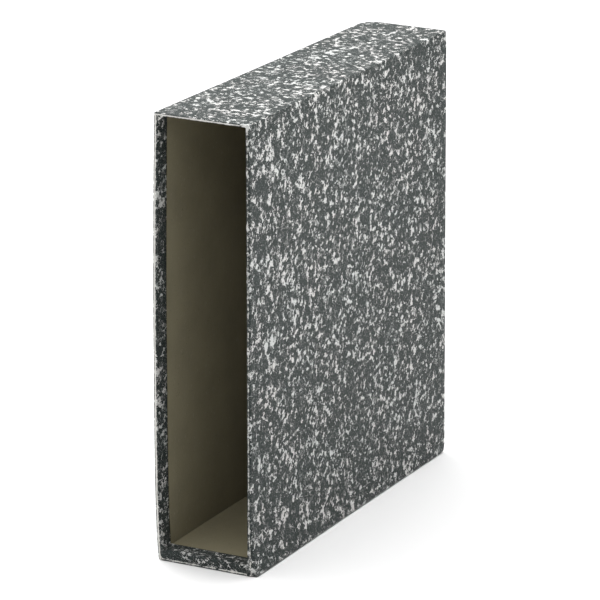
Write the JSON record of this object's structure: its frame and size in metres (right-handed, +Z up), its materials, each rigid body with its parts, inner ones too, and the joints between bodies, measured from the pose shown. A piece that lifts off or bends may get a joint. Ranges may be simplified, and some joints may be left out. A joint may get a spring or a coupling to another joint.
{
  "type": "lever arch file slipcase",
  "caption": "Rigid open-fronted slipcase for a lever arch file, made of greyboard panels covered in marbled paper that turns in round the mouth.",
  "frame": {"origin": "middle of the underside, on the surface the slipcase stands on", "axes": "+Z up along the height, the open mouth faces -Y and the back +Y, X across the width, symmetric about X = 0"},
  "size_m": [0.0764, 0.31, 0.333],
  "materials": {
    "marbled_paper": "smooth uncoated paper printed with a dark grey and off-white cloud marble",
    "greyboard": "bare fibrous grey-brown board",
    "floor_board": "bare fibrous grey-brown board",
    "kraft_tape": "plain brown gummed paper tape"
  },
  "bodies": {
    "root": {"wrap_paper": "marbled_paper", "bottom_paper": "marbled_paper", "back_paper": "marbled_paper", "left_side_board": "greyboard", "right_side_board": "greyboard", "top_board": "greyboard", "bottom_board": "greyboard", "back_board": "greyboard", "floor_layer_lower": "floor_board", "floor_layer_upper": "floor_board", "corner_tape_top_left": "kraft_tape", "corner_tape_top_right": "kraft_tape", "corner_tape_bottom_left": "kraft_tape", "corner_tape_bottom_right": "kraft_tape", "back_tape_top": "kraft_tape", "back_tape_bottom": "kraft_tape", "back_tape_left": "kraft_tape", "back_tape_right": "kraft_tape"}
  },
  "joints": []
}
